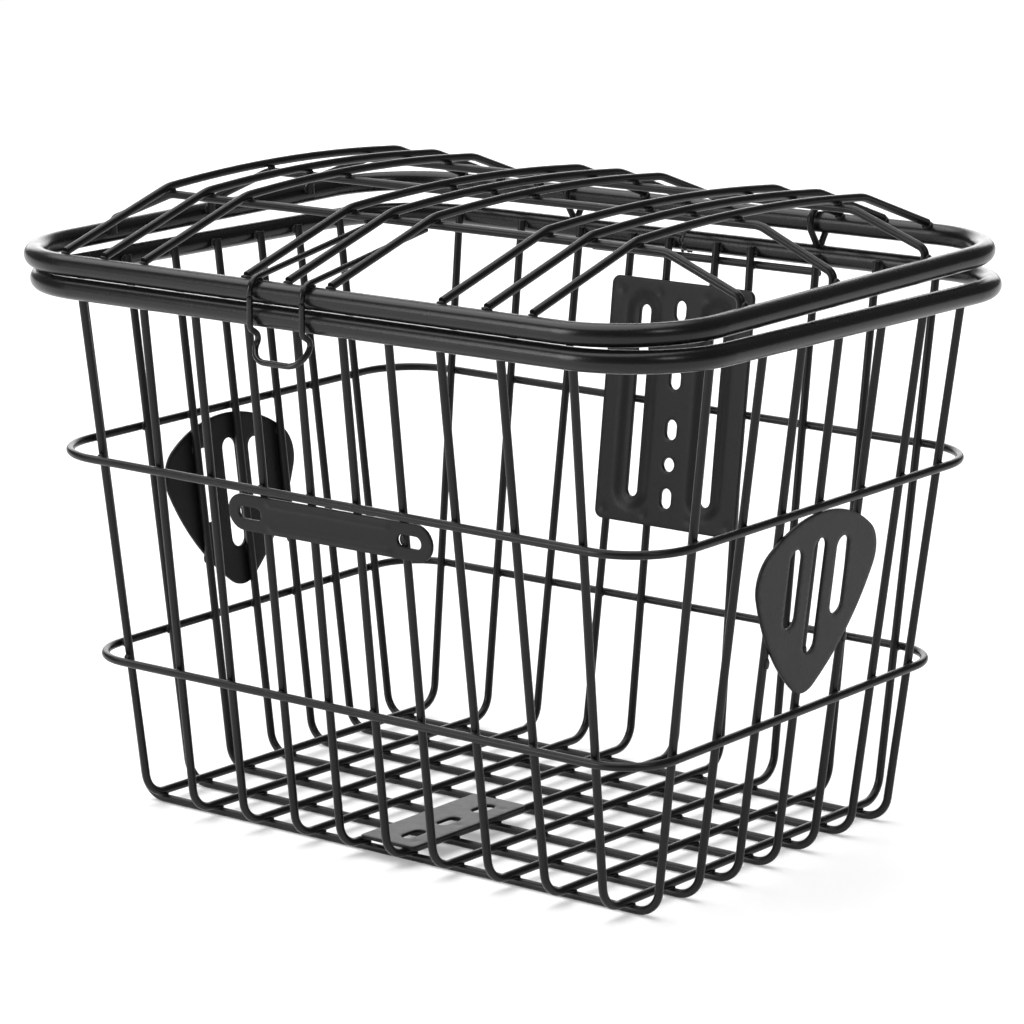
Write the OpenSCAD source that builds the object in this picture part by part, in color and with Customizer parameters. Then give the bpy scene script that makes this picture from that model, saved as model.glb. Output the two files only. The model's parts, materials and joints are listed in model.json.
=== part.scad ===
// Handlebar basket of welded steel wire with a hinged wire lid and a spring-wire latch.
// Units are millimetres. +Z is up, -Y is the front (latch side), +Y is the back (bicycle side).
// The origin is on the floor under the middle of the basket.

/* [Basket] */
// Overall width of the basket across its top rim
overall_w = 360; // [340:1:400]
// Overall depth of the basket across its top rim
overall_d = 276.4; // [262:0.2:300]
// Height of the top rim's centreline above the floor
rim_z = 236.2; // [220:0.2:260]
// Diameter of the two rim tubes
tube_d = 9.4; // [8:0.2:12]
// Bend radius of the rims' corners, to the tube's centreline
rim_corner_r = 44; // [40:1:50]
// Diameter of the basket wire
wire_d = 3.6; // [3:0.1:4]
// Half the width of the floor, between the wires' virtual corners
floor_half_w = 139.2; // [132:0.2:144]
// Half the depth of the floor, between the wires' virtual corners
floor_half_d = 99.5; // [97:0.5:103]
// How far the floor sits back from the middle of the rim; a negative value is forward
floor_shift = -1.5; // [-2:0.1:0]
// Bend radius of the basket wires at the floor
floor_bend_r = 11; // [8:1:16]
// Height of the lower hoop's centreline
lower_hoop_z = 71; // [60:1:74]
// Corner radius of the lower hoop
lower_hoop_r = 23.5; // [18:0.5:23.5]
// Height of the upper hoop's centreline
upper_hoop_z = 161; // [160:1:175]
// Corner radius of the upper hoop
upper_hoop_r = 29; // [24:1:29]

/* [Lid] */
// Sideways play taken up by the lid in its hinge loops
lid_shift = -3.4; // [-6:0.2:6]
// Height of the hinge axis, the centre of the lid's back tube
hinge_z = 251.2; // [251:0.1:253]
// Forward tilt of the closed lid
lid_tilt = 1.13; // [0.4:0.01:1.15]
// Height of the ribs above the lid rim at their front bend
rib_front_h = 24.6; // [18:0.2:28]
// Height of the ribs above the lid rim at their back bend
rib_back_h = 22.4; // [16:0.2:26]
// Extra rise of the ribs' arch between their two bends
rib_rise = 3; // [1:0.5:8]
// Distance between neighbouring ribs of one group
rib_pitch = 22.6; // [18:0.2:26]
// Distance between groups of ribs at the front
group_pitch_front = 102.5; // [90:0.5:108]
// Distance between groups of ribs at the back
group_pitch_back = 106.5; // [90:0.5:108]

/* [Latch] */
// Diameter of the latch's spring wire
latch_d = 2.6; // [2:0.1:3]
// Half the distance between the latch's two arms
latch_half_w = 14; // [10:0.5:18]
// Middle of the latch, measured from the middle of the lid
latch_x = -7.2; // [-20:0.2:20]

/* [Plates] */
// Width of the rear mounting plate
rear_plate_w = 78.5; // [76:0.5:84]
// Height of the rear mounting plate
rear_plate_h = 112; // [108:1:118]
// Height of the rear plate's middle above the floor
rear_plate_z = 163; // [160:1:166]
// Length of the rear plate's two long slots
long_slot_len = 88; // [80:1:92]
// Distance of the long slots from the plate's middle
long_slot_x = 20.4; // [18:0.2:21]
// Width of the slots in the rear and bottom plates
slot_w = 6; // [5:0.1:6.4]
// Length of the reflector bracket
bracket_len = 110; // [100:1:120]
// Height of the reflector bracket
bracket_h = 16; // [14:0.5:17]
// Distance of the reflector bracket's slots from its middle
bracket_slot_x = 43; // [38:0.5:46]
// Width of the side plates
badge_w = 86; // [70:1:88]
// Length of the bottom plate, front to back
bottom_plate_len = 77; // [70:1:80]
// Width of the bottom plate
bottom_plate_w = 29.5; // [29.5:0.1:32]

/* [Hidden] */
$fn = 48;
steel_black = [0.07, 0.07, 0.075];

// Clearance that stands for the skin of a weld between two round parts of one body
weld_gap = 0.06;
// Running clearance between parts that move against each other
run_gap = 0.35;
// How far a bend runs into the straight rods beside it, and how much thinner it is
elbow_overlap = 0.2;
elbow_step = 0.04;

tube_r = tube_d / 2;
wire_r = wire_d / 2;
latch_r = latch_d / 2;
sheet_t = 1.5;
rear_sheet_t = 2;
// Raised beads pressed in the rear plate and the reflector bracket
bead_d = 2.2;
bead_out = 0.8;

// Centrelines of the basket rim
rim_x = overall_w / 2 - tube_r;
rim_y = overall_d / 2 - tube_r;

// Uprights: the side wires lie on the floor and the fore-aft wires lie on them
side_wire_z = wire_r;
fore_aft_z = side_wire_z + wire_d + weld_gap;
upright_over = 1.5;
upright_top_z = rim_z + upright_over;
rim_weld_gap = 0.1;
upright_in = tube_r + wire_r + rim_weld_gap;
side_top_x = rim_x - upright_in;
fore_aft_top_y = rim_y - upright_in;
// Lean of the side walls
side_lean = atan((side_top_x - floor_half_w) / (rim_z - side_wire_z));
// The same for the end walls: side is 1 at the back and -1 at the front
function floor_edge(side) = floor_half_d + side * floor_shift;
function end_lean(side) = atan((fore_aft_top_y - floor_edge(side)) / (rim_z - fore_aft_z));

// Ten fore-aft wires: the inner four are closer together than the outer ones.
// All but the outermost run slightly askew and meet the back wall a little further right.
fore_aft_count = 10;
inner_pitch = 25.3;
outer_pitch = 29.4;
outer_fan = 6.4;
floor_skew = 3;

// The first wire's front corner is tucked in from the others
corner_tuck = [-3, 5];

// Seven side wires, also slightly askew, spread apart towards the rim
side_wire_count = 7;
side_pitch = 27.8;
side_left_offset = -2.5;
side_right_offset = 0.5;
side_fan = 1.085;

// How far each upright strays sideways at the rim, as bent and welded by hand:
// left to right for the front and back walls, front to back for the side walls
front_stray = [0, 0, 0, 0, 1, 0, -1, -4, -3, -3];
back_stray = [0, 1.5, 6.5, 7, 2.5, 3.5, -3, 3, 5, 0];
left_stray = [0, 0, 0, -2, -3, -7, -8];
right_stray = [0, 6, 3, -1, 0, 1, 0];

// How much higher each hoop stands at its +X and +Y sides than at its middle
upper_hoop_tip = [-1.3, 1.5];
lower_hoop_tip = [0, 1.4];

// Lid
rib_count = 9;
ribs_per_group = 3;
// The lid rim is a touch narrower and deeper than the basket rim
lid_narrower = 0.1;
lid_deeper = 0.2;
lid_x = rim_x - lid_narrower;
lid_y = 2 * rim_y + lid_deeper;
hinge_y = rim_y;
group_mid_front = -8;
group_mid_back = -0.8;
rib_front_reach = 65.8;
rib_front_y = -lid_y + rib_front_reach;
rib_back_y = -49.5;
rib_bend_r = 20;
cross_bend_x = 133;
cross_bend_r = 14;
cross_front_in = 2.2;
cross_front_y = rib_front_y + cross_front_in;
cross_mid_y = -135.5;
cross_rear_y = -67.5;
cross_gap = 0.15;
cross_tip_z = 0.5;
cross_tip_bend_z = 6.8;
cross_tip_bend_r = 4;

// Hinge loops
loop_d = 3;
loop_play = 0.5;
loop_r = tube_r + loop_d / 2 + loop_play;
loop_left_x = -68.5;
loop_right_x = 67;
loop_leg_gap = 0.2;
loop_leg_y = (loop_d + loop_leg_gap) / 2;
loop_flat = 1;

// Rear stiffener wire
stiffener_z = 229.3;
stiffener_left = -55;
stiffener_right = 67;

// ---- vectors ----
function unit(v) = v / norm(v);
function lerp(a, b, t) = a + (b - a) * t;

// ---- bent round wire ----
// A path is a list of 3-D points. Its inner points are virtual corners, each rounded by a bend.
function path_at(path, i) = path[(i + len(path)) % len(path)];
function dir_in(path, i) = unit(path_at(path, i) - path_at(path, i - 1));
function dir_out(path, i) = unit(path_at(path, i + 1) - path_at(path, i));
function turn(path, i) = acos(dir_in(path, i) * dir_out(path, i));
function bend_at(bend, i) = is_list(bend) ? bend[i] : bend;
function has_bend(path, i, closed) = closed || (i > 0 && i < len(path) - 1);
function setback(path, bend, i, closed) =
    has_bend(path, i, closed) ? bend_at(bend, i) * tan(turn(path, i) / 2) : 0;

// A straight rod between two points
module rod(a, b, dia) {
    along = b - a;
    tilt = acos(unit(along).z);
    heading = atan2(along.y, along.x);
    translate(a)
        rotate([0, tilt, heading])
            cylinder(h = norm(along), d = dia);
}

// The round bend at corner i of a path. It is a hair thinner than the rods and runs a little way
// into each of them, so that the two meet in a clean edge.
module elbow(path, bend, i, dia) {
    r = bend_at(bend, i);
    u = dir_in(path, i);
    v = dir_out(path, i);
    start = path_at(path, i) - u * r * tan(turn(path, i) / 2);
    axis = unit(cross(u, v));
    to_centre = unit(cross(axis, u));
    centre = start + to_centre * r;
    into = elbow_overlap / r * 180 / PI;
    multmatrix([
        [-to_centre.x, u.x, axis.x, centre.x],
        [-to_centre.y, u.y, axis.y, centre.y],
        [-to_centre.z, u.z, axis.z, centre.z],
        [0, 0, 0, 1]])
        rotate([0, 0, -into])
            rotate_extrude(angle = turn(path, i) + 2 * into)
                translate([r, 0])
                    circle(d = dia - elbow_step);
}

// A round wire along a path, open or closed into a ring
module bent_wire(path, bend, dia, closed = false) {
    last = len(path) - (closed ? 1 : 2);
    for (i = [0:last]) {
        next = (i + 1) % len(path);
        along = dir_out(path, i);
        rod(path[i] + along * setback(path, bend, i, closed),
            path[next] - along * setback(path, bend, next, closed), dia);
    }
    for (i = [0:len(path) - 1])
        if (has_bend(path, i, closed)) elbow(path, bend, i, dia);
}

// A flat ring with four rounded corners, centred in X and Y
module rounded_ring(half_x, half_y, corner_r, dia) {
    bent_wire(
        [[half_x, half_y, 0], [-half_x, half_y, 0], [-half_x, -half_y, 0], [half_x, -half_y, 0]],
        corner_r, dia, closed = true);
}

// ---- flat outlines ----
module slot_outline(len, w) {
    square([len - w, w], center = true);
    for (s = [-1, 1])
        translate([s * (len - w) / 2, 0]) circle(d = w);
}

module rounded_outline(size, r) {
    square([size.x - 2 * r, size.y], center = true);
    square([size.x, size.y - 2 * r], center = true);
    for (sx = [-1, 1], sy = [-1, 1])
        translate([sx * (size.x / 2 - r), sy * (size.y / 2 - r)]) circle(r = r);
}

// ---- wall frames ----
// In a wall frame X runs along the wall, Z runs up the leaning wall and Y points out of the basket.
// The frame's origin is on the uprights' centre plane at height z.
// These two give how far a wall stands from the basket's middle at height z.
function end_wall_y(side, z) = floor_edge(side) + (z - fore_aft_z) * tan(end_lean(side));
function side_wall_x(z) = floor_half_w + (z - side_wire_z) * tan(side_lean);

module on_end_wall(side, z) {
    translate([0, end_wall_y(side, z), z])
        rotate([-end_lean(side), 0, 0])
            children();
}

module on_back_wall(z) {
    on_end_wall(1, z) children();
}

module on_front_wall(z) {
    mirror([0, 1, 0])
        on_end_wall(-1, z) children();
}

module on_right_wall(z) {
    translate([side_wall_x(z), 0, z])
        rotate([0, side_lean, 0])
            rotate([0, 0, -90])
                children();
}

// A sheet of thickness t, drawn as an outline in X and Z, whose near face is at y = face
module upright_sheet(face, t) {
    translate([0, face + t, 0])
        rotate([90, 0, 0])
            linear_extrude(t)
                children();
}

// ---- basket ----
module basket_rim() {
    color(steel_black)
        translate([0, 0, rim_z])
            rounded_ring(rim_x, rim_y, rim_corner_r, tube_d);
}

// A hoop welded to the outside of the uprights. It sits a little crooked: at each corner it is
// higher by tip.x towards +X and by tip.y towards +Y, and lower by as much at the other end.
function hoop_corner(z, tip, sx, sy) =
    let (h = z + sx * tip.x + sy * tip.y)
    [sx * (side_wall_x(h) + wire_d / cos(side_lean) + weld_gap),
     sy * (end_wall_y(sy, h) + wire_d / cos(end_lean(sy)) + weld_gap), h];

module hoop(z, tip, corner_r) {
    color(steel_black)
        bent_wire(
            [hoop_corner(z, tip, 1, 1), hoop_corner(z, tip, -1, 1),
             hoop_corner(z, tip, -1, -1), hoop_corner(z, tip, 1, -1)],
            corner_r, wire_d, closed = true);
}

module hoop_upper() {
    hoop(upper_hoop_z, upper_hoop_tip, upper_hoop_r);
}

module hoop_lower() {
    hoop(lower_hoop_z, lower_hoop_tip, lower_hoop_r);
}

// Position of fore-aft wire k (0 to 4, from the middle outward) on the floor
function fore_aft_x(k) = k < 2 ? inner_pitch * (k + 0.5) : inner_pitch * 1.5 + outer_pitch * (k - 1);

module fore_aft_wire(i) {
    side = i > fore_aft_count / 2 ? 1 : -1;
    k = side > 0 ? i - fore_aft_count / 2 - 1 : fore_aft_count / 2 - i;
    x = side * fore_aft_x(k);
    outermost = k == fore_aft_count / 2 - 1;
    rim_line_x = x + (outermost ? side * outer_fan : 0);
    skew = outermost ? 0 : floor_skew;
    tuck = i == 1 ? corner_tuck : [0, 0];
    color(steel_black)
        bent_wire([
            [rim_line_x + front_stray[i - 1], -end_wall_y(-1, upright_top_z), upright_top_z],
            [x + tuck.x, -floor_edge(-1) + tuck.y, fore_aft_z],
            [x + skew, floor_edge(1), fore_aft_z],
            [rim_line_x + back_stray[i - 1], end_wall_y(1, upright_top_z), upright_top_z]],
            floor_bend_r, wire_d);
}

module side_wire(i) {
    y = side_pitch * (i - (side_wire_count + 1) / 2);
    top_x = side_wall_x(upright_top_z);
    color(steel_black)
        bent_wire([
            [-top_x, y * side_fan + left_stray[i - 1], upright_top_z],
            [-floor_half_w, y + side_left_offset, side_wire_z],
            [floor_half_w, y + side_right_offset, side_wire_z],
            [top_x, y * side_fan + right_stray[i - 1], upright_top_z]],
            floor_bend_r, wire_d);
}

module rear_stiffener_wire() {
    y = end_wall_y(1, stiffener_z) + wire_d / cos(end_lean(1)) + weld_gap;
    color(steel_black)
        rod([stiffener_left, y, stiffener_z], [stiffener_right, y, stiffener_z], wire_d);
}

// Pressed sheet against the inside of the back uprights. A raised bead runs round each long slot.
rear_plate_corner_r = 4;
hole_len = 9.3;
hole_rows = [43, 12, -11, -42.5];
round_hole_z = -27;
round_hole_d = 6.4;
rear_plate_x = 2;
bead_half_w = 9;
bead_corner_r = 8;
bead_over = 8;

module rear_plate_outline() {
    difference() {
        rounded_outline([rear_plate_w, rear_plate_h], rear_plate_corner_r);
        for (s = [-1, 1])
            translate([s * long_slot_x, 0])
                rotate(90) slot_outline(long_slot_len, slot_w);
        for (z = hole_rows)
            translate([0, z]) rotate(90) slot_outline(hole_len, slot_w);
        translate([0, round_hole_z]) circle(d = round_hole_d);
    }
}

module rear_mount_plate() {
    face = -wire_r - weld_gap - rear_sheet_t;
    bead_half_h = (rear_plate_h - bead_over) / 2;
    color(steel_black)
        on_back_wall(rear_plate_z)
            translate([rear_plate_x, face, 0]) {
                upright_sheet(0, rear_sheet_t) rear_plate_outline();
                for (s = [-1, 1])
                    translate([s * long_slot_x, bead_d / 2 - bead_out, 0])
                        rotate([90, 0, 0])
                            rounded_ring(bead_half_w, bead_half_h, bead_corner_r, bead_d);
            }
}

// Slotted sheet on top of the floor wires
bottom_plate_x = 3.9;
bottom_plate_y = -53;
bottom_plate_corner_r = 2;
bottom_slot_len = 13;
bottom_slot_x = 2.6;
bottom_slot_pitch = 23.5;

module bottom_mount_plate() {
    color(steel_black)
        translate([bottom_plate_x, bottom_plate_y, fore_aft_z + wire_r + weld_gap])
            linear_extrude(sheet_t)
                difference() {
                    rounded_outline([bottom_plate_w, bottom_plate_len], bottom_plate_corner_r);
                    for (k = [-1:1])
                        translate([bottom_slot_x, k * bottom_slot_pitch])
                            rotate(90) slot_outline(bottom_slot_len, slot_w);
                }
}

// Strip across the front uprights with a slot at each end and a raised bead along each long edge
bracket_slot_len = 12.5;
bracket_slot_w = 5.5;
bracket_x = -1.2;
bracket_drop = 2.1;
bracket_bead_z = 5.2;
bracket_bead_half = 33;

module reflector_bracket() {
    z = upper_hoop_z - wire_r - bracket_drop - bracket_h / 2;
    face = wire_r + weld_gap;
    bead_y = face + sheet_t + bead_out - bead_d / 2;
    color(steel_black)
        on_front_wall(z)
            translate([bracket_x, 0, 0]) {
                upright_sheet(face, sheet_t)
                    difference() {
                        slot_outline(bracket_len, bracket_h);
                        for (s = [-1, 1])
                            translate([s * bracket_slot_x, 0])
                                slot_outline(bracket_slot_len, bracket_slot_w);
                    }
                for (s = [-1, 1])
                    translate([0, bead_y, s * bracket_bead_z])
                        rod([-bracket_bead_half, 0, 0], [bracket_bead_half, 0, 0], bead_d);
            }
}

// Side plate: a plain rounded plate with three upright slots.
// Its top, shoulders, sides and foot are arcs that run smoothly into each other.
badge_top_z = 157.6;
badge_foot_z = 78.6;
// The left plate sits a little higher and further forward than the right one
badge_left_lift = 2.4;
badge_left_forward = 7;
badge_crown_r = 62;
badge_shoulder_r = 16;
badge_foot_r = 12;
badge_side_r = 110;
badge_slot_w = 9;
badge_slot_pitch = 17;
badge_mid_slot_len = 50;
badge_mid_slot_z = 3;
badge_end_slot_len = 34;
badge_end_slot_z = 9;
badge_arc_steps = 12;

// Points on an arc about c, from angle a0 to angle a1, both included
function arc(c, r, a0, a1, steps) =
    [for (k = [0:steps]) let (a = lerp(a0, a1, k / steps)) c + r * [cos(a), sin(a)]];

// The same arc without its two ends
function inner_arc(c, r, a0, a1, steps) =
    arc(c, r, lerp(a0, a1, 1 / steps), lerp(a0, a1, 1 - 1 / steps), steps - 2);

function mirror_x(v) = [-v.x, v.y];
function heading(v) = atan2(v.y, v.x);

// Where circles about a (radius ra) and b (radius rb) meet, on the right of the way from a to b
function circles_meet(a, ra, b, rb) =
    let (d = norm(b - a), u = (b - a) / d, x = (d * d + ra * ra - rb * rb) / (2 * d))
    a + x * u + sqrt(ra * ra - x * x) * [u.y, -u.x];

module badge_outline() {
    height = badge_top_z - badge_foot_z;
    reach = badge_crown_r - badge_shoulder_r;
    shoulder_x = badge_w / 2 - badge_shoulder_r;
    swing = asin(shoulder_x / reach);
    crown = [0, height / 2 - badge_crown_r];
    shoulder = [shoulder_x, crown.y + reach * cos(swing)];
    foot = [0, badge_foot_r - height / 2];
    side = circles_meet(shoulder, badge_side_r - badge_shoulder_r, foot, badge_side_r - badge_foot_r);
    upper = heading(shoulder - side);
    lower = heading(foot - side);
    n = badge_arc_steps;
    polygon(concat(
        inner_arc(crown, badge_crown_r, 90 + swing, 90 - swing, n),
        arc(shoulder, badge_shoulder_r, 90 - swing, upper, n),
        inner_arc(side, badge_side_r, upper, lower, n),
        arc(foot, badge_foot_r, lower, -180 - lower, n),
        inner_arc(mirror_x(side), badge_side_r, 180 - lower, 180 - upper, n),
        arc(mirror_x(shoulder), badge_shoulder_r, 180 - upper, 90 + swing, n)));
}

module badge_slots() {
    translate([0, badge_mid_slot_z])
        rotate(90) slot_outline(badge_mid_slot_len, badge_slot_w);
    for (s = [-1, 1])
        translate([s * badge_slot_pitch, badge_end_slot_z])
            rotate(90) slot_outline(badge_end_slot_len, badge_slot_w);
}

module side_plate(forward, lift) {
    color(steel_black)
        on_right_wall((badge_top_z + badge_foot_z) / 2 + lift)
            translate([forward, 0, 0])
                upright_sheet(wire_r + weld_gap, sheet_t)
                    difference() {
                        badge_outline();
                        badge_slots();
                    }
}

module side_plate_right() {
    side_plate(0, 0);
}

module side_plate_left() {
    mirror([1, 0, 0])
        side_plate(badge_left_forward, badge_left_lift);
}

// Wire loop that wraps the lid's back tube, its two legs welded on top of the back rim
module hinge_loop(x) {
    leg = [loop_leg_y, rim_z + tube_r + weld_gap - hinge_z];
    from_bend = leg - [loop_flat / 2, 0];
    wrap_from = atan2(from_bend.y, from_bend.x) + acos(loop_r / norm(from_bend));
    corner_y = loop_flat / 2 + loop_r * tan((90 - wrap_from) / 2);
    color(steel_black)
        translate([x, hinge_y, hinge_z])
            bent_wire([
                [0, leg.x, leg.y],
                [0, corner_y, loop_r],
                [0, -corner_y, loop_r],
                [0, -leg.x, leg.y]],
                loop_r, loop_d);
}

// ---- lid ----
// In the lid frame the origin is on the hinge axis, Y runs back along the lid and Z stands on it.
module lid_frame() {
    translate([lid_shift, hinge_y, hinge_z])
        rotate([lid_tilt, 0, 0])
            children();
}

module lid_rim() {
    color(steel_black)
        lid_frame()
            translate([0, -lid_y / 2, 0])
                rounded_ring(lid_x, lid_y / 2, rim_corner_r, tube_d);
}

// Height of the ribs' arch above the lid rim at a distance y behind the hinge axis
rib_mid_y = (rib_front_y + rib_back_y) / 2;
rib_half = (rib_back_y - rib_front_y) / 2;
function rib_chord(y) = lerp(rib_front_h, rib_back_h, (y - rib_front_y) / (2 * rib_half));
function rib_arch(y) = rib_chord(y) + rib_rise * (1 - pow((y - rib_mid_y) / rib_half, 2));

// The ribs' cut ends rest on the inner top of the front and back tubes, a little in from the crest.
// The wire's lower edge leads its centre by rib_lead, and stands above the tube by the weld gap.
rib_tip_y = 2.65;
rib_slope = atan(rib_front_h / (lid_y + rib_front_y));
rib_lead = wire_r * sin(rib_slope);
rib_rest_z = sqrt(pow(tube_r + weld_gap, 2) - pow(rib_tip_y + rib_lead, 2));
rib_tip_z = rib_rest_z + wire_r * cos(rib_slope) + weld_gap;
// The bend at the arch's middle takes up nearly all of the two straight runs beside it
rib_arch_share = 0.9;
rib_arch_r = rib_arch_share * rib_half * rib_half / (2 * rib_rise);

module lid_rib(i) {
    group = floor((i - 1) / ribs_per_group) - 1;
    place = (i - 1) % ribs_per_group - 1;
    front_x = group_mid_front + group * group_pitch_front + place * rib_pitch;
    back_x = group_mid_back + group * group_pitch_back + place * rib_pitch;
    function x_at(y) = lerp(front_x, back_x, (y + lid_y) / lid_y);
    function rib_point(y, z) = [x_at(y), y, z];
    color(steel_black)
        lid_frame()
            bent_wire([
                rib_point(-lid_y + rib_tip_y, rib_tip_z),
                rib_point(rib_front_y, rib_front_h),
                rib_point(rib_mid_y, rib_chord(rib_mid_y) + 2 * rib_rise),
                rib_point(rib_back_y, rib_back_h),
                rib_point(-rib_tip_y, rib_tip_z)],
                [0, rib_bend_r, rib_arch_r, rib_bend_r, 0], wire_d);
}

// A wire across the lid under the ribs, its ends turned down inside the side tubes
function cross_z(y) = rib_arch(y) - wire_d - cross_gap;

module lid_cross_wire(y) {
    tip_x = lid_x - tube_r - wire_r - weld_gap;
    color(steel_black)
        lid_frame()
            bent_wire([
                [-tip_x, y, cross_tip_z],
                [-tip_x, y, cross_tip_bend_z],
                [-cross_bend_x, y, cross_z(y)],
                [cross_bend_x, y, cross_z(y)],
                [tip_x, y, cross_tip_bend_z],
                [tip_x, y, cross_tip_z]],
                [0, cross_tip_bend_r, cross_bend_r, cross_bend_r, cross_tip_bend_r, 0], wire_d);
}

// ---- latch ----
// Distances here are measured from the centre of the lid's front tube
wrap_r = tube_r + latch_r + run_gap;
pivot_z = -2.2;
pivot_gap = 0.1;
arm_over = 4;
arm_back_y = cross_front_y + lid_y + arm_over;
arm_back_z = cross_z(cross_front_y) - wire_r - latch_r - weld_gap;
arm_slope = atan((arm_back_z - wrap_r) / arm_back_y);
arm_corner_z = wrap_r * (cos(arm_slope) + (sin(arm_slope) - 1) * tan(arm_slope));

module latch_frame() {
    lid_frame()
        translate([latch_x, -lid_y, 0])
            children();
}

// Two arms from under the front cross wire, over the lid's front tube and down its face
module latch_arms() {
    color(steel_black)
        latch_frame()
            for (s = [-1, 1])
                bent_wire([
                    [s * latch_half_w, arm_back_y, arm_corner_z + (arm_back_y + wrap_r) * tan(arm_slope)],
                    [s * latch_half_w, -wrap_r, arm_corner_z],
                    [s * latch_half_w, -wrap_r, pivot_z + latch_r + pivot_gap]],
                    wrap_r, latch_d);
}

// The loop: down past both tubes, tucked in under the basket rim and flared out as a finger pull
latch_lean = 0.4;
latch_drop = 12;
latch_bend_r = 3;
latch_end_r = 8;
knee = [-0.7, -17.9];
flare = [-7.4, -27.4];

module latch_loop() {
    shoulder = [-wrap_r - latch_lean, pivot_z - latch_drop];
    color(steel_black)
        latch_frame() {
            bent_wire([
                [-latch_half_w, -wrap_r, pivot_z],
                [-latch_half_w, shoulder.x, shoulder.y],
                [-latch_half_w, knee.x, knee.y],
                [-latch_half_w, flare.x, flare.y],
                [latch_half_w, flare.x, flare.y],
                [latch_half_w, knee.x, knee.y],
                [latch_half_w, shoulder.x, shoulder.y],
                [latch_half_w, -wrap_r, pivot_z]],
                [0, latch_bend_r, latch_bend_r, latch_end_r, latch_end_r, latch_bend_r, latch_bend_r, 0],
                latch_d);
            for (s = [-1, 1])
                translate([s * latch_half_w, -wrap_r, pivot_z]) sphere(d = latch_d + elbow_step);
        }
}

basket_rim();
hoop_upper();
hoop_lower();
for (i = [1:fore_aft_count])
    fore_aft_wire(i);
for (i = [1:side_wire_count])
    side_wire(i);
rear_stiffener_wire();
rear_mount_plate();
bottom_mount_plate();
reflector_bracket();
side_plate_right();
side_plate_left();
hinge_loop(loop_right_x);  // hinge_loop_right
hinge_loop(loop_left_x);  // hinge_loop_left
lid_rim();
for (i = [1:rib_count])
    lid_rib(i);
lid_cross_wire(cross_front_y);  // lid_cross_wire_front
lid_cross_wire(cross_mid_y);  // lid_cross_wire_middle
lid_cross_wire(cross_rear_y);  // lid_cross_wire_rear
latch_arms();
latch_loop();
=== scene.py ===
import json
import math
import random

import bmesh
import bpy
from mathutils import Matrix, Vector, kdtree, noise as smooth_noise
from mathutils.geometry import delaunay_2d_cdt


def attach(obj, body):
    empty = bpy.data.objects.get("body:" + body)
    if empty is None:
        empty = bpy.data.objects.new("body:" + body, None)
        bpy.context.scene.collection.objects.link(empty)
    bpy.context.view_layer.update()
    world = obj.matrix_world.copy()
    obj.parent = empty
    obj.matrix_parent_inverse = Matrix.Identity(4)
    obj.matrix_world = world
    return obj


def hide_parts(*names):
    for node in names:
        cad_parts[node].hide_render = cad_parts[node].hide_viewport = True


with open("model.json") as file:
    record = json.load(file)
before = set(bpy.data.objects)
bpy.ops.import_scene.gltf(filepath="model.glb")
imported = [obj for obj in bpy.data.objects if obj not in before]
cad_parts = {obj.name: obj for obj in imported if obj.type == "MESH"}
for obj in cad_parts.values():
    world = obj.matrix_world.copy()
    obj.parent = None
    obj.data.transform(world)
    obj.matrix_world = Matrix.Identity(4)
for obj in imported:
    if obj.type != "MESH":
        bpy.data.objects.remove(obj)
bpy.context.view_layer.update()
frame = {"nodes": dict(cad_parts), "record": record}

MM = 0.001
SENSOR = 36.0
random.seed(7)


# ---------------------------------------------------------------- materials
def new_material(name):
    """A new node material with one Principled shader: (material, node tree, shader)."""
    mat = bpy.data.materials.new(name)
    mat.use_nodes = True
    tree = mat.node_tree
    tree.nodes.clear()
    out = tree.nodes.new("ShaderNodeOutputMaterial")
    shader = tree.nodes.new("ShaderNodeBsdfPrincipled")
    tree.links.new(shader.outputs["BSDF"], out.inputs["Surface"])
    return mat, tree, shader


def noise(tree, coord, scale, detail=2.0, roughness=0.5):
    node = tree.nodes.new("ShaderNodeTexNoise")
    node.inputs["Scale"].default_value = scale
    node.inputs["Detail"].default_value = detail
    node.inputs["Roughness"].default_value = roughness
    tree.links.new(coord, node.inputs["Vector"])
    return node.outputs["Fac"]


def ramp(tree, value, low, high):
    """Maps a 0..1 value to low..high."""
    node = tree.nodes.new("ShaderNodeMapRange")
    node.inputs["To Min"].default_value = low
    node.inputs["To Max"].default_value = high
    tree.links.new(value, node.inputs["Value"])
    return node.outputs["Result"]


# The coat's noise scales, its bump heights in metres, and how much bluer than neutral it is
CLOUD_SCALE, MOTTLE_SCALE, PEEL_SCALE, GRAIN_SCALE = 45.0, 260.0, 900.0, 3200.0
PEEL_HEIGHT, GRAIN_HEIGHT, GRAIN_SHARE = 0.00012, 0.00003, 0.6
BLUE_CAST = 1.03


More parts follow.
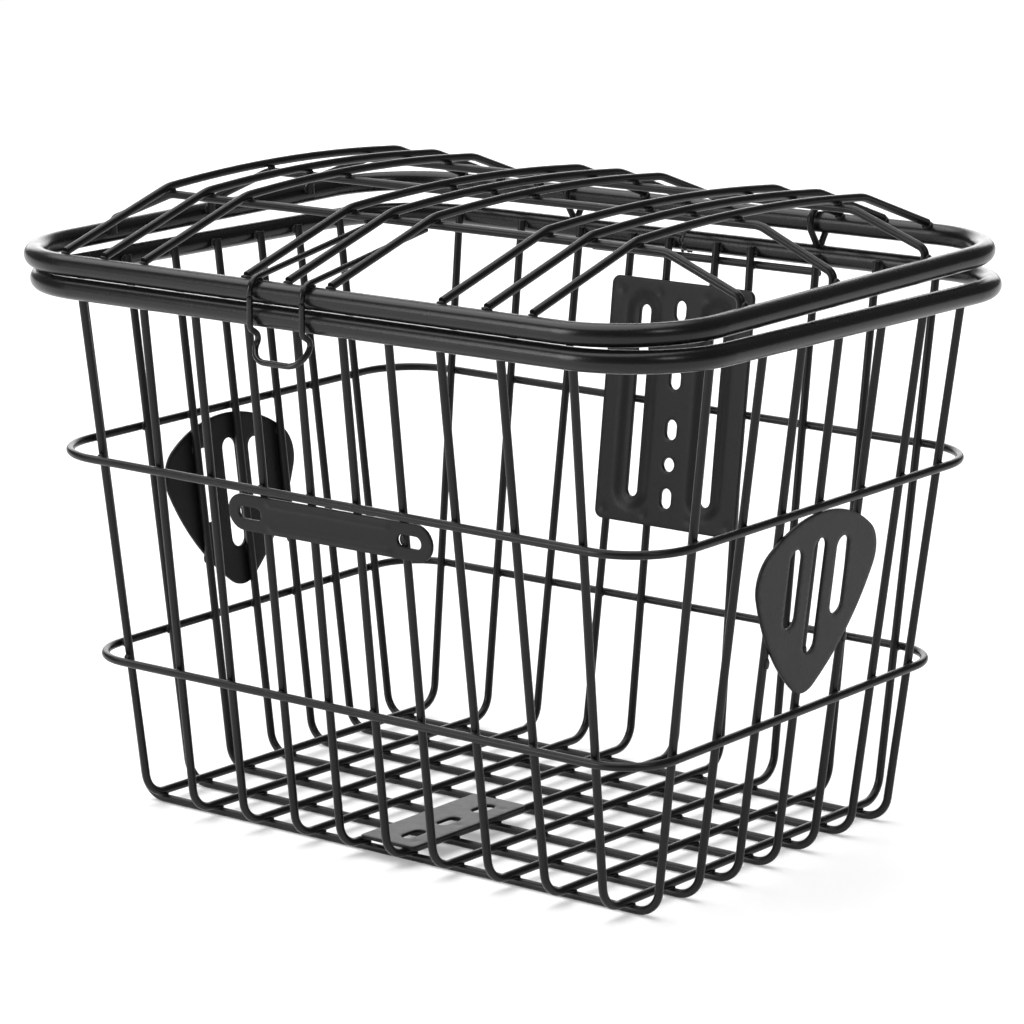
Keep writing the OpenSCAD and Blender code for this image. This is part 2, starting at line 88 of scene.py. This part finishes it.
def powder_coat(name, dark, light, rough_low, rough_high, peel, specular):
    """Black powder coat: slight colour variation, orange peel and fine grain."""
    mat, tree, shader = new_material(name)
    coord = tree.nodes.new("ShaderNodeTexCoord").outputs["Object"]
    broad = noise(tree, coord, CLOUD_SCALE, 3.0)
    mix = tree.nodes.new("ShaderNodeMix")
    mix.data_type = "RGBA"
    tree.links.new(broad, mix.inputs["Factor"])
    mix.inputs["A"].default_value = (dark, dark, dark * BLUE_CAST, 1.0)
    mix.inputs["B"].default_value = (light, light, light * BLUE_CAST, 1.0)
    tree.links.new(mix.outputs["Result"], shader.inputs["Base Color"])
    mottled = noise(tree, coord, MOTTLE_SCALE, 2.0)
    tree.links.new(ramp(tree, mottled, rough_low, rough_high), shader.inputs["Roughness"])
    peel_height = noise(tree, coord, PEEL_SCALE, 2.0, 0.55)
    grain = noise(tree, coord, GRAIN_SCALE, 1.0)
    wide_bump = tree.nodes.new("ShaderNodeBump")
    wide_bump.inputs["Strength"].default_value = peel
    wide_bump.inputs["Distance"].default_value = PEEL_HEIGHT
    tree.links.new(peel_height, wide_bump.inputs["Height"])
    fine_bump = tree.nodes.new("ShaderNodeBump")
    fine_bump.inputs["Strength"].default_value = peel * GRAIN_SHARE
    fine_bump.inputs["Distance"].default_value = GRAIN_HEIGHT
    tree.links.new(grain, fine_bump.inputs["Height"])
    tree.links.new(wide_bump.outputs["Normal"], fine_bump.inputs["Normal"])
    tree.links.new(fine_bump.outputs["Normal"], shader.inputs["Normal"])
    shader.inputs["Specular IOR Level"].default_value = specular
    return mat


def plain_floor():
    mat, tree, shader = new_material("pale_floor")
    coord = tree.nodes.new("ShaderNodeTexCoord").outputs["Object"]
    shader.inputs["Base Color"].default_value = (0.93, 0.93, 0.93, 1.0)
    tree.links.new(ramp(tree, noise(tree, coord, 3.0), 0.55, 0.65), shader.inputs["Roughness"])
    return mat


TUBE_COAT = powder_coat("tube_powder_coat", 0.004, 0.006, 0.22, 0.30, 0.3, 0.32)
WIRE_COAT = powder_coat("wire_powder_coat", 0.004, 0.007, 0.27, 0.36, 0.4, 0.27)
SHEET_COAT = powder_coat("sheet_powder_coat", 0.005, 0.008, 0.36, 0.45, 0.5, 0.22)
SPRING_COAT = powder_coat("spring_wire_coat", 0.004, 0.007, 0.18, 0.26, 0.3, 0.35)
BY_SLOT = {"rim_tube": TUBE_COAT, "wire": WIRE_COAT,
           "sheet": SHEET_COAT, "spring_wire": SPRING_COAT}


def paint_frame():
    slots = {part["node"]: part["material_slot"] for part in frame["record"]["subparts"]}
    for name, node in frame["nodes"].items():
        node.data.materials.clear()
        node.data.materials.append(BY_SLOT[slots[name]])


paint_frame()


# ---------------------------------------------------------------- the wires' layout, in mm
WIRE_R, TUBE_R = 1.8, 4.7
WELD_GAP, RIM_WELD_GAP = 0.06, 0.1
RIM_Z, RIM_Y, TOP_Z, FLOOR_Z = 236.2, 133.5, 237.7, 5.46
# Where the walls stand at the floor and at the rim, from the middle
BACK_EDGE, FRONT_EDGE, SIDE_EDGE = 98.0, 101.0, 139.2
END_TOP, SIDE_TOP = 126.9, 168.7
BACK_SLOPE = (END_TOP - BACK_EDGE) / (RIM_Z - FLOOR_Z)
FRONT_SLOPE = (END_TOP - FRONT_EDGE) / (RIM_Z - FLOOR_Z)
SIDE_SLOPE = (SIDE_TOP - SIDE_EDGE) / (RIM_Z - WIRE_R)
# Fore-and-aft wires: pitch of the inner four, where they end, and pitch of the rest; then the
# outermost wire's flare at the top, the others' skew on the floor, and the first one's tuck
INNER_PITCH, INNER_END, OUTER_PITCH = 25.3, 37.95, 29.4
OUTERMOST, OUTER_FLARE, FLOOR_SKEW, FIRST_TUCK = 4, 6.4, 3, (-3, 5)
# Side-to-side wires: pitch on the floor, how far they fan out at the top, and each end's shift
SIDE_PITCH, SIDE_FAN, LEFT_SHIFT, RIGHT_SHIFT = 27.8, 1.085, -2.5, 0.5
# How far each upright's top strays along its wall
FRONT_STRAY = [0, 0, 0, 0, 1, 0, -1, -4, -3, -3]
BACK_STRAY = [0, 1.5, 6.5, 7, 2.5, 3.5, -3, 3, 5, 0]
LEFT_STRAY = [0, 0, 0, -2, -3, -7, -8]
RIGHT_STRAY = [0, 6, 3, -1, 0, 1, 0]
# Each hoop's height, and how much higher it is at its right and back edges
HOOPS = [(161.0, (-1.3, 1.5)), (71.0, (0.0, 1.4))]


def wall_y(side, z):
    """Distance of the back (side 1) or front (side -1) wall from the middle at height z."""
    edge, slope = (BACK_EDGE, BACK_SLOPE) if side > 0 else (FRONT_EDGE, FRONT_SLOPE)
    return edge + (z - FLOOR_Z) * slope


def wall_x(z):
    return SIDE_EDGE + (z - WIRE_R) * SIDE_SLOPE


def fore_aft_path(i):
    side = 1 if i > 5 else -1
    k = i - 6 if side > 0 else 5 - i
    x = side * (INNER_PITCH * (k + 0.5) if k < 2 else INNER_END + OUTER_PITCH * (k - 1))
    top_x = x + (side * OUTER_FLARE if k == OUTERMOST else 0)
    tuck = FIRST_TUCK if i == 1 else (0, 0)
    return [Vector((top_x + FRONT_STRAY[i - 1], -wall_y(-1, TOP_Z), TOP_Z)),
            Vector((x + tuck[0], -FRONT_EDGE + tuck[1], FLOOR_Z)),
            Vector((x + (0 if k == OUTERMOST else FLOOR_SKEW), BACK_EDGE, FLOOR_Z)),
            Vector((top_x + BACK_STRAY[i - 1], wall_y(1, TOP_Z), TOP_Z))]


def side_path(i):
    y = SIDE_PITCH * (i - 4)
    return [Vector((-wall_x(TOP_Z), y * SIDE_FAN + LEFT_STRAY[i - 1], TOP_Z)),
            Vector((-SIDE_EDGE, y + LEFT_SHIFT, WIRE_R)),
            Vector((SIDE_EDGE, y + RIGHT_SHIFT, WIRE_R)),
            Vector((wall_x(TOP_Z), y * SIDE_FAN + RIGHT_STRAY[i - 1], TOP_Z))]


FORE_AFT = [fore_aft_path(i) for i in range(1, 11)]
SIDES = [side_path(i) for i in range(1, 8)]


def at_height(low, high, z):
    return low.lerp(high, (z - low.z) / (high.z - low.z))


def uprights():
    """Every upright as (low end, high end, way out of the basket, number)."""
    found = []
    for i, path in enumerate(FORE_AFT, 1):
        found.append((path[1], path[0], Vector((0, -1, 0)), i))
        found.append((path[2], path[3], Vector((0, 1, 0)), i))
    for i, path in enumerate(SIDES, 1):
        found.append((path[1], path[0], Vector((-1, 0, 0)), i))
        found.append((path[2], path[3], Vector((1, 0, 0)), i))
    return found


# ---------------------------------------------------------------- weld beads
# Half-axes of the beads in mm: along the wall, out of it and up; or X, Y and Z
RIM_BEAD, WIRE_BEAD, FLOOR_BEAD = (2.5, 1.25, 2.3), (1.9, 0.85, 1.9), (1.9, 1.9, 0.75)
PLATE_BEAD, BRACKET_BEAD, LOOP_FOOT_BEAD = (1.5, 0.45, 2.4), (1.5, 0.45, 2.2), (2.1, 1.9, 0.85)
SEAM_BEAD, DRIP_BEAD = (1.5, 0.95, 0.5), (0.8, 0.8, 0.9)
# How much a bead's size varies, and the height and scale of its lumps
BEAD_SMALL, BEAD_LARGE, LUMP, LUMP_SCALE = 0.88, 1.12, 0.16, 1.3
# Heights of the welds that hold the fittings
REAR_PLATE_WELDS, SIDE_PLATE_WELDS = (116.0, 163.0, 209.0), (97.0, 146.0)
STIFFENER_Z, BRACKET_Z = 229.3, 149.1
LOOP_FEET_X, LOOP_FEET_Y, LOOP_FOOT_LIFT = (-68.5, 67.0), (-1.6, 1.6), 0.3
# The rim's butt weld: place along the rim, beads in the ring, their stray, and its drips
SEAM_X, SEAM_BEADS, SEAM_STRAY, SEAM_SINK = -4.5, 26, 0.4, 0.15
SEAM_DRIPS = ((-2.4, -0.5), (0.3, 0.4), (2.2, -0.2))


def bead(bm, centre, size, turn=None):
    """One weld bead: a lumpy flattened ball with half-axes size (mm)."""
    turn = turn or Matrix.Identity(3)
    seed = Vector((random.uniform(0, 50), random.uniform(0, 50), random.uniform(0, 50)))
    grow = random.uniform(BEAD_SMALL, BEAD_LARGE)
    new = bmesh.ops.create_icosphere(bm, subdivisions=2, radius=1.0)["verts"]
    for vert in new:
        lump = 1.0 + LUMP * smooth_noise.noise(vert.co * LUMP_SCALE + seed)
        local = Vector([c * s for c, s in zip(vert.co, size)]) * grow * lump
        vert.co = (centre + turn @ local) * MM


def finish_mesh(bm, name, coat, body):
    bmesh.ops.recalc_face_normals(bm, faces=bm.faces)
    mesh = bpy.data.meshes.new(name)
    bm.to_mesh(mesh)
    bm.free()
    for face in mesh.polygons:
        face.use_smooth = True
    mesh.materials.append(coat)
    piece = bpy.data.objects.new(name, mesh)
    bpy.context.scene.collection.objects.link(piece)
    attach(piece, body)
    return piece


def across(out):
    """A turn whose X runs along the wall, Y out of it and Z up."""
    along = out.cross(Vector((0, 0, 1)))
    return Matrix((along, out, Vector((0, 0, 1)))).transposed()


def rim_welds():
    bm = bmesh.new()
    for low, high, out, _ in uprights():
        centre = at_height(low, high, RIM_Z - random.uniform(0.2, 0.9))
        bead(bm, centre + out * (WIRE_R + RIM_WELD_GAP), RIM_BEAD, across(out))
    finish_mesh(bm, "rim_weld_beads", WIRE_COAT, "basket")


def wire_bead(bm, low, high, out, z):
    """A bead where another wire lies on the outside of an upright at height z."""
    bead(bm, at_height(low, high, z) + out * (WIRE_R + WELD_GAP), WIRE_BEAD, across(out))


def hoop_welds():
    bm = bmesh.new()
    for low, high, out, _ in uprights():
        for z0, tip in HOOPS:
            at = at_height(low, high, z0)
            z = z0 + tip[0] * at.x / wall_x(z0) + tip[1] * at.y / wall_y(1, z0)
            wire_bead(bm, low, high, out, z)
    finish_mesh(bm, "hoop_weld_beads", WIRE_COAT, "basket")


def floor_welds():
    bm = bmesh.new()
    for path in FORE_AFT:
        for cross in SIDES:
            x, y = path[1].x, 0.0
            for _ in range(4):
                y = cross[1].y + (cross[2].y - cross[1].y) * (x + SIDE_EDGE) / (2 * SIDE_EDGE)
                x = path[1].lerp(path[2], (y - path[1].y) / (path[2].y - path[1].y)).x
            bead(bm, Vector((x, y, WIRE_R * 2 + WELD_GAP / 2)), FLOOR_BEAD)
    finish_mesh(bm, "floor_weld_beads", WIRE_COAT, "basket")


def fitting_welds():
    """Beads behind the plates, the bracket and the stiffener wire, and at the hinge loops' feet."""
    bm = bmesh.new()
    gap = WIRE_R + WELD_GAP / 2
    for low, high, out, i in uprights():
        if out.y > 0 and 4 <= i <= 7:
            for z in REAR_PLATE_WELDS:
                bead(bm, at_height(low, high, z) - out * gap, PLATE_BEAD, across(out))
        if out.y > 0 and 4 <= i <= 8:
            wire_bead(bm, low, high, out, STIFFENER_Z)
        if out.y < 0 and 4 <= i <= 7:
            bead(bm, at_height(low, high, BRACKET_Z) + out * gap, BRACKET_BEAD, across(out))
        if out.x and 3 <= i <= 5:
            for z in SIDE_PLATE_WELDS:
                bead(bm, at_height(low, high, z) + out * gap, PLATE_BEAD, across(out))
    for x in LOOP_FEET_X:
        for y in LOOP_FEET_Y:
            foot = Vector((x, RIM_Y + y, RIM_Z + TUBE_R + LOOP_FOOT_LIFT))
            bead(bm, foot, LOOP_FOOT_BEAD)
    finish_mesh(bm, "fitting_weld_beads", WIRE_COAT, "basket")


def rim_seam():
    """Butt weld that closes the basket rim at the back: a low uneven ring with drips under it."""
    bm = bmesh.new()
    for k in range(SEAM_BEADS):
        angle = 2 * math.pi * k / SEAM_BEADS
        spoke = Vector((0, math.cos(angle), math.sin(angle)))
        x = SEAM_X + random.uniform(-SEAM_STRAY, SEAM_STRAY)
        centre = Vector((x, RIM_Y, RIM_Z)) + spoke * (TUBE_R - SEAM_SINK)
        turn = Matrix((Vector((1, 0, 0)), spoke.cross(Vector((1, 0, 0))), spoke)).transposed()
        bead(bm, centre, SEAM_BEAD, turn)
    for x, y in SEAM_DRIPS:
        bead(bm, Vector((SEAM_X + x, RIM_Y + y, RIM_Z - TUBE_R - 0.1)), DRIP_BEAD)
    finish_mesh(bm, "rim_seam_weld", TUBE_COAT, "basket")


# ---------------------------------------------------------------- the lid's layout, in mm
# The lid's own frame has its origin on the hinge axis, Y backwards along the lid
LID_X, LID_Y, HINGE_Z = 175.2, 267.2, 251.2
LID_SHIFT, LID_TILT = -3.4, 1.13
LID_FRAME = (Matrix.Translation((LID_SHIFT, RIM_Y, HINGE_Z))
             @ Matrix.Rotation(math.radians(LID_TILT), 4, "X"))
# The ribs' arched part between their bends: its ends, their heights, and the rise between them
RIB_FRONT_Y, RIB_BACK_Y = -LID_Y + 65.8, -49.5
RIB_FRONT_Z, RIB_BACK_Z, RIB_CROWN = 24.6, 22.4, 3
RIB_HALF = (RIB_BACK_Y - RIB_FRONT_Y) / 2
CROSS_Y = (RIB_FRONT_Y + 2.2, -135.5, -67.5)
# Height of the cross wires' ends, and how far these wires lie below the ribs
CROSS_END_Z, CROSS_DROP = 2.4, 3.75
# Middle rib of the middle group and pitch of the groups, at the front and back; pitch in a group
FRONT_ROW_X, FRONT_ROW_PITCH = -8, 102.5
BACK_ROW_X, BACK_ROW_PITCH = -0.8, 106.5
RIB_PITCH = 22.6
LATCH_X, LATCH_HALF = -7.2, 14.0
RIB_BEAD, RIB_END_BEAD, CROSS_END_BEAD = (1.9, 1.9, 0.8), (2.5, 2.3, 0.95), (1.15, 2.4, 2.6)
ARM_BEAD, ARM_RIM_BEAD = (1.7, 2.1, 0.8), (1.5, 1.9, 0.6)
RIB_END_SLANT = math.radians(33)


def rib_height(y):
    chord = RIB_FRONT_Z + (RIB_BACK_Z - RIB_FRONT_Z) * (y - RIB_FRONT_Y) / (2 * RIB_HALF)
    return chord + RIB_CROWN * (1 - ((y - (RIB_FRONT_Y + RIB_HALF)) / RIB_HALF) ** 2)


def rib_x(i, y):
    group, place = divmod(i - 1, 3)
    front = FRONT_ROW_X + (group - 1) * FRONT_ROW_PITCH + (place - 1) * RIB_PITCH
    back = BACK_ROW_X + (group - 1) * BACK_ROW_PITCH + (place - 1) * RIB_PITCH
    return front + (back - front) * (y + LID_Y) / LID_Y


def lid_welds():
    bm = bmesh.new()
    turn = LID_FRAME.to_3x3()

    def put(place, size, tilt=0.0):
        local = turn @ Matrix.Rotation(tilt, 3, "X")
        bead(bm, LID_FRAME @ Vector(place), size, local)

    for i in range(1, 10):
        for y in CROSS_Y:
            put((rib_x(i, y), y, rib_height(y) - WIRE_R - 0.07), RIB_BEAD)
        for y, lead in ((-LID_Y, 1), (0.0, -1)):
            reach = TUBE_R + 0.15
            y_weld = y + lead * reach * math.sin(RIB_END_SLANT)
            put((rib_x(i, y), y_weld, reach * math.cos(RIB_END_SLANT)),
                RIB_END_BEAD, -lead * RIB_END_SLANT)
    for y in CROSS_Y:
        for side in (-1, 1):
            put((side * (LID_X - TUBE_R - 0.03), y, CROSS_END_Z), CROSS_END_BEAD)
    arm_z = rib_height(CROSS_Y[0]) - CROSS_DROP - WIRE_R - WELD_GAP / 2
    for side in (-1, 1):
        put((LATCH_X + side * LATCH_HALF, CROSS_Y[0], arm_z), ARM_BEAD)
        put((LATCH_X + side * LATCH_HALF, -LID_Y, TUBE_R + 0.17), ARM_RIM_BEAD)
    finish_mesh(bm, "lid_weld_beads", WIRE_COAT, "lid")


# ---------------------------------------------------------------- pressed sheets
# Rounded edges: their radius, and how far in their middle row lies, as a share of it
EDGE_R, EDGE_EASE = 0.32, 0.29
# Points inside a sheet: least distance to its edge, and pitch of the rows, in steps
EDGE_CLEAR, ROW_PITCH = 0.6, 0.87
REAR_T, SHEET_T = 2.0, 1.5


def arc(cx, cy, r, a0, a1, steps):
    """Points on an arc, both ends included; angles in degrees."""
    turns = [math.radians(a0 + (a1 - a0) * k / steps) for k in range(steps + 1)]
    return [Vector((cx + r * math.cos(a), cy + r * math.sin(a))) for a in turns]


def rounded_box(w, h, r):
    x, y = w / 2 - r, h / 2 - r
    return (arc(x, y, r, 0, 90, 8) + arc(-x, y, r, 90, 180, 8)
            + arc(-x, -y, r, 180, 270, 8) + arc(x, -y, r, 270, 360, 8))


def slot_loop(cx, cy, length, w, upright=True):
    """A slot with round ends, as a clockwise hole."""
    run, r = (length - w) / 2, w / 2
    if upright:
        loop = arc(cx, cy + run, r, 0, 180, 12) + arc(cx, cy - run, r, 180, 360, 12)
    else:
        loop = arc(cx + run, cy, r, -90, 90, 12) + arc(cx - run, cy, r, 90, 270, 12)
    return loop[::-1]


def resample(loop, step):
    """The same loop without doubled points and with long edges divided."""
    loop = [p for k, p in enumerate(loop) if (p - loop[k - 1]).length > 1e-4]
    out = []
    for k, p in enumerate(loop):
        q = loop[(k + 1) % len(loop)]
        parts = max(1, math.ceil((q - p).length / step))
        out += [p.lerp(q, j / parts) for j in range(parts)]
    return out


def offset_left(loop, dist):
    out = []
    for k, p in enumerate(loop):
        along = (loop[(k + 1) % len(loop)] - loop[k - 1]).normalized()
        out.append(p + Vector((-along.y, along.x)) * dist)
    return out


def in_material(p, loops):
    odd = False
    for loop in loops:
        for k, b in enumerate(loop):
            a = loop[k - 1]
            if (a.y > p.y) != (b.y > p.y) and p.x < a.x + (p.y - a.y) * (b.x - a.x) / (b.y - a.y):
                odd = not odd
    return odd


def pressed_sheet(name, node, loops, thick, step, height, place):
    """A pressed sheet with holes and rounded edges. Its outline is the first loop, anticlockwise.

    height(u, v) is how far the face is pressed in; place(u, depth, v) gives the point in mm."""
    loops = [resample(loop, step) for loop in loops]
    inner = [offset_left(loop, EDGE_R) for loop in loops]
    points = [p for loop in inner for p in loop]
    tree = kdtree.KDTree(len(points))
    for k, p in enumerate(points):
        tree.insert((p.x, p.y, 0), k)
    tree.balance()
    lines, first = [], 0
    for loop in inner:
        lines += [(first + k, first + (k + 1) % len(loop)) for k in range(len(loop))]
        first += len(loop)
    xs, ys = [p.x for p in inner[0]], [p.y for p in inner[0]]
    v = min(ys) + step
    row = 0
    while v < max(ys):
        u = min(xs) + step * (1.0 if row % 2 else 0.5)
        while u < max(xs):
            p = Vector((u, v))
            if tree.find((u, v, 0))[2] > EDGE_CLEAR * step and in_material(p, inner):
                points.append(p)
            u += step
        v += step * ROW_PITCH
        row += 1
    flat, _, tris, origin, _, _ = delaunay_2d_cdt(points, lines, [], 0, 1e-5)
    where = {}
    for k, sources in enumerate(origin):
        for source in sources:
            where[source] = k
    bm = bmesh.new()

    def vert(p, depth):
        return bm.verts.new(Vector(place(p.x, height(p.x, p.y) + depth, p.y)) * MM)

    tris = [t for t in tris if in_material(sum((flat[k] for k in t), Vector((0, 0))) / 3, inner)]
    front = [vert(p, 0) for p in flat]
    back = [vert(p, thick) for p in flat]
    for a, b, c in tris:
        bm.faces.new((front[a], front[b], front[c]))
        bm.faces.new((back[a], back[c], back[b]))
    low = EDGE_EASE * EDGE_R
    first = 0
    for loop, ring in zip(loops, inner):
        size = len(loop)
        soft = [p.lerp(q, EDGE_EASE) for p, q in zip(loop, ring)]
        rows = [[front[where[first + k]] for k in range(size)],
                [vert(p, low) for p in soft],
                [vert(p, EDGE_R) for p in loop],
                [vert(p, thick - EDGE_R) for p in loop],
                [vert(p, thick - low) for p in soft],
                [back[where[first + k]] for k in range(size)]]
        for upper, lower in zip(rows, rows[1:]):
            for k in range(size):
                j = (k + 1) % size
                bm.faces.new((upper[k], lower[k], lower[j], upper[j]))
        first += size
    loose = [vertex for vertex in bm.verts if not vertex.link_faces]
    bmesh.ops.delete(bm, geom=loose, context="VERTS")
    piece = finish_mesh(bm, name, SHEET_COAT, "basket")
    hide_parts(node)


def soft_step(x, low, high):
    t = min(1.0, max(0.0, (x - low) / (high - low)))
    return t * t * (3 - 2 * t)


def dimple(u, v, spots, depth, r):
    """Spot-weld dents at the given places."""
    return sum(depth * math.exp(-((u - a) ** 2 + (v - b) ** 2) / (r * r)) for a, b in spots)


def waviness(u, v, amount, scale):
    return amount * smooth_noise.noise(Vector((u * scale, v * scale, 3.7)))


def end_wall_place(side, z, x, face, sign):
    """place() for a sheet on the back or front wall; sign is which way its thickness runs."""
    slope = BACK_SLOPE if side > 0 else FRONT_SLOPE
    lean = math.atan(slope)
    y0 = wall_y(side, z)

    def place(u, depth, v):
        out = face + sign * depth
        return (x + u, side * (y0 + out * math.cos(lean) + v * math.sin(lean)),
                z - out * math.sin(lean) + v * math.cos(lean))
    return place


def side_wall_place(side, z, forward, face):
    lean = math.atan(SIDE_SLOPE)
    x0 = wall_x(z)

    def place(u, depth, v):
        out = face - depth
        return (side * (x0 + out * math.cos(lean) + v * math.sin(lean)), -(u + forward),
                z - out * math.sin(lean) + v * math.cos(lean))
    return place


def make_rear_plate():
    slot_x, slot_len, slot_w = 20.4, 88.0, 6
    channel_depth, channel_floor, channel_edge = 1.5, 4.2, 10.6
    spots = [(-33.4, 50), (-12.1, 50), (14.1, 50), (33.6, 50),
             (-35.1, -51), (-11.9, -51), (13.9, -51), (34.6, -51)]

    def height(u, v):
        run = (slot_len - slot_w) / 2
        reach = math.hypot(abs(u) - slot_x, max(0.0, abs(v) - run))
        trough = channel_depth * (1 - soft_step(reach, channel_floor, channel_edge))
        return trough + dimple(u, v, spots, 0.45, 1.7) + waviness(u, v, 0.12, 0.05)

    loops = [rounded_box(78.5, 112, 4)]
    loops += [slot_loop(s * slot_x, 0, slot_len, slot_w) for s in (-1, 1)]
    loops += [slot_loop(0, v, 9.3, slot_w) for v in (43, 12, -11, -42.5)]
    loops.append(arc(0, -27, 3.2, 0, 360, 28)[::-1])
    face = -WIRE_R - WELD_GAP - REAR_T
    pressed_sheet("rear_plate_sheet", "rear_mount_plate", loops, REAR_T, 1.3, height,
                  end_wall_place(1, 163.0, 2.0, face, 1))


def make_bottom_plate():
    top = FLOOR_Z + WIRE_R + WELD_GAP + SHEET_T
    spots = [(9.4, -31.5), (9.4, -1.8), (9.8, 27.9)]

    def height(u, v):
        return dimple(u, v, spots, 0.3, 1.6) + waviness(u, v, 0.06, 0.06)

    loops = [rounded_box(29.5, 77, 2)] + [slot_loop(2.6, k * 23.5, 13, 6) for k in (-1, 0, 1)]
    pressed_sheet("bottom_plate_sheet", "bottom_mount_plate", loops, SHEET_T, 1.6, height,
                  lambda u, depth, v: (3.9 + u, -53 + v, top - depth))


def make_bracket():
    ridge_height, ridge_v, ridge_w, ridge_end = 0.75, 5.2, 1.15, 31

    def height(u, v):
        along = 1 - soft_step(abs(u), ridge_end, ridge_end + 3.5)
        ridge = math.exp(-((abs(v) - ridge_v) / ridge_w) ** 2)
        return -ridge_height * along * ridge + waviness(u, v, 0.08, 0.05)

    loops = [slot_loop(0, 0, 110, 16, upright=False)[::-1]]
    loops += [slot_loop(s * 43, 0, 12.5, 5.5, upright=False) for s in (-1, 1)]
    pressed_sheet("reflector_bracket_sheet", "reflector_bracket", loops, SHEET_T, 1.2, height,
                  end_wall_place(-1, BRACKET_Z, -1.2, WIRE_R + WELD_GAP + SHEET_T, -1))


def badge_loop():
    """Half outline of crown, shoulder, side and foot arcs, mirrored."""
    top, foot_z, w = 157.6, 78.6, 86.0
    crown_r, shoulder_r, foot_r, side_r = 62.0, 16.0, 12.0, 110.0
    height = top - foot_z
    reach, shoulder_x = crown_r - shoulder_r, w / 2 - shoulder_r
    swing = math.degrees(math.asin(shoulder_x / reach))
    crown_y = height / 2 - crown_r
    shoulder = Vector((shoulder_x, crown_y + reach * math.cos(math.radians(swing))))
    foot = Vector((0, foot_r - height / 2))
    ra, rb = side_r - shoulder_r, side_r - foot_r
    d = (foot - shoulder).length
    u = (foot - shoulder) / d
    x = (d * d + ra * ra - rb * rb) / (2 * d)
    side = shoulder + x * u + math.sqrt(ra * ra - x * x) * Vector((u.y, -u.x))
    upper = math.degrees(math.atan2(shoulder.y - side.y, shoulder.x - side.x))
    lower = math.degrees(math.atan2(foot.y - side.y, foot.x - side.x))
    right = (arc(0, crown_y, crown_r, 90, 90 - swing, 12)
             + arc(shoulder.x, shoulder.y, shoulder_r, 90 - swing, upper, 12)
             + arc(side.x, side.y, side_r, upper, lower, 20)
             + arc(foot.x, foot.y, foot_r, lower, -90, 8))
    left = [Vector((-p.x, p.y)) for p in right[::-1]]
    return (right + left)[::-1]


def make_side_plates():
    loops = [badge_loop(), slot_loop(0, 3, 50, 9)]
    loops += [slot_loop(s * 17, 9, 34, 9) for s in (-1, 1)]
    face = WIRE_R + WELD_GAP + SHEET_T
    for name, node, side, forward, lift in (("right", "side_plate_right", 1, 0, 0),
                                            ("left", "side_plate_left", -1, 7, 2.4)):
        def height(u, v):
            return waviness(u + 40 * side, v, 0.1, 0.04)

        pressed_sheet(f"{name}_side_sheet", node, loops, SHEET_T, 1.8, height,
                      side_wall_place(side, 118.1 + lift, forward, face))


rim_welds()
hoop_welds()
floor_welds()
fitting_welds()
rim_seam()
lid_welds()
make_rear_plate()
make_bottom_plate()
make_bracket()
make_side_plates()


# ---------------------------------------------------------------- stage
FLOOR_HALF = 300.0
CAMERA_PLACE, CAMERA_AIM = Vector((1.0457, -1.3204, 0.5127)), Vector((0.02264, -0.02937, 0.14177))
CAMERA_LENS, CAMERA_SHIFT_Y, CAMERA_ROLL = 140.3, 0.0016, -0.1


def make_floor():
    size = FLOOR_HALF
    mesh = bpy.data.meshes.new("floor")
    corners = [(-size, -size, 0), (size, -size, 0), (size, size, 0), (-size, size, 0)]
    mesh.from_pydata(corners, [], [(0, 1, 2, 3)])
    floor = bpy.data.objects.new("floor", mesh)
    floor.data.materials.append(plain_floor())
    bpy.context.scene.collection.objects.link(floor)


def aim_lamp(lamp, place, aim):
    lamp.location = place
    lamp.rotation_euler = (Vector(aim) - Vector(place)).to_track_quat("-Z", "Y").to_euler()
    bpy.context.scene.collection.objects.link(lamp)


def soft_box(name, place, aim, size, radiance):
    """A soft box that looks as bright as radiance."""
    light = bpy.data.lights.new(name, "AREA")
    light.shape = "RECTANGLE"
    light.size, light.size_y = size
    light.energy = radiance * math.pi * size[0] * size[1]
    light.use_shadow = False
    aim_lamp(bpy.data.objects.new(name, light), place, aim)


def wide_sun(place, strength, spread):
    light = bpy.data.lights.new("wide_sun", "SUN")
    light.energy = strength
    light.angle = math.radians(spread)
    aim_lamp(bpy.data.objects.new("wide_sun", light), place, (0, 0, 0))


def make_world(strength):
    world = bpy.data.worlds.new("studio")
    world.use_nodes = True
    sky = world.node_tree.nodes["Background"]
    sky.inputs["Color"].default_value = (1.0, 1.0, 1.0, 1.0)
    sky.inputs["Strength"].default_value = strength
    bpy.context.scene.world = world


def make_camera():
    """Three-quarter view from the front right, a little above the rim."""
    data = bpy.data.cameras.new("camera")
    data.sensor_width = SENSOR
    data.lens = CAMERA_LENS
    data.shift_y = CAMERA_SHIFT_Y
    data.clip_start, data.clip_end = 0.05, 1000.0
    camera = bpy.data.objects.new("camera", data)
    camera.location = CAMERA_PLACE
    roll = Matrix.Rotation(math.radians(CAMERA_ROLL), 3, "Z")
    look = (CAMERA_AIM - CAMERA_PLACE).to_track_quat("-Z", "Y").to_matrix()
    camera.rotation_euler = (look @ roll).to_euler()
    bpy.context.scene.collection.objects.link(camera)
    bpy.context.scene.camera = camera


make_floor()
make_world(0.15)
make_camera()
wide_sun((-0.6, 0.0, 2.0), 3.15, 70)
soft_box("back_soft_box", (-2.2, 2.7, 1.15), (0, 0, 0.15), (3.6, 1.5), 3.2)
soft_box("front_soft_box", (-1.1, -2.2, 0.95), (0, 0, 0.2), (0.9, 1.2), 8.0)
soft_box("right_soft_box", (1.98, -0.64, 1.76), (0, 0, 0.2), (0.5, 0.5), 9.0)
bpy.context.scene.view_settings.view_transform = "Standard"
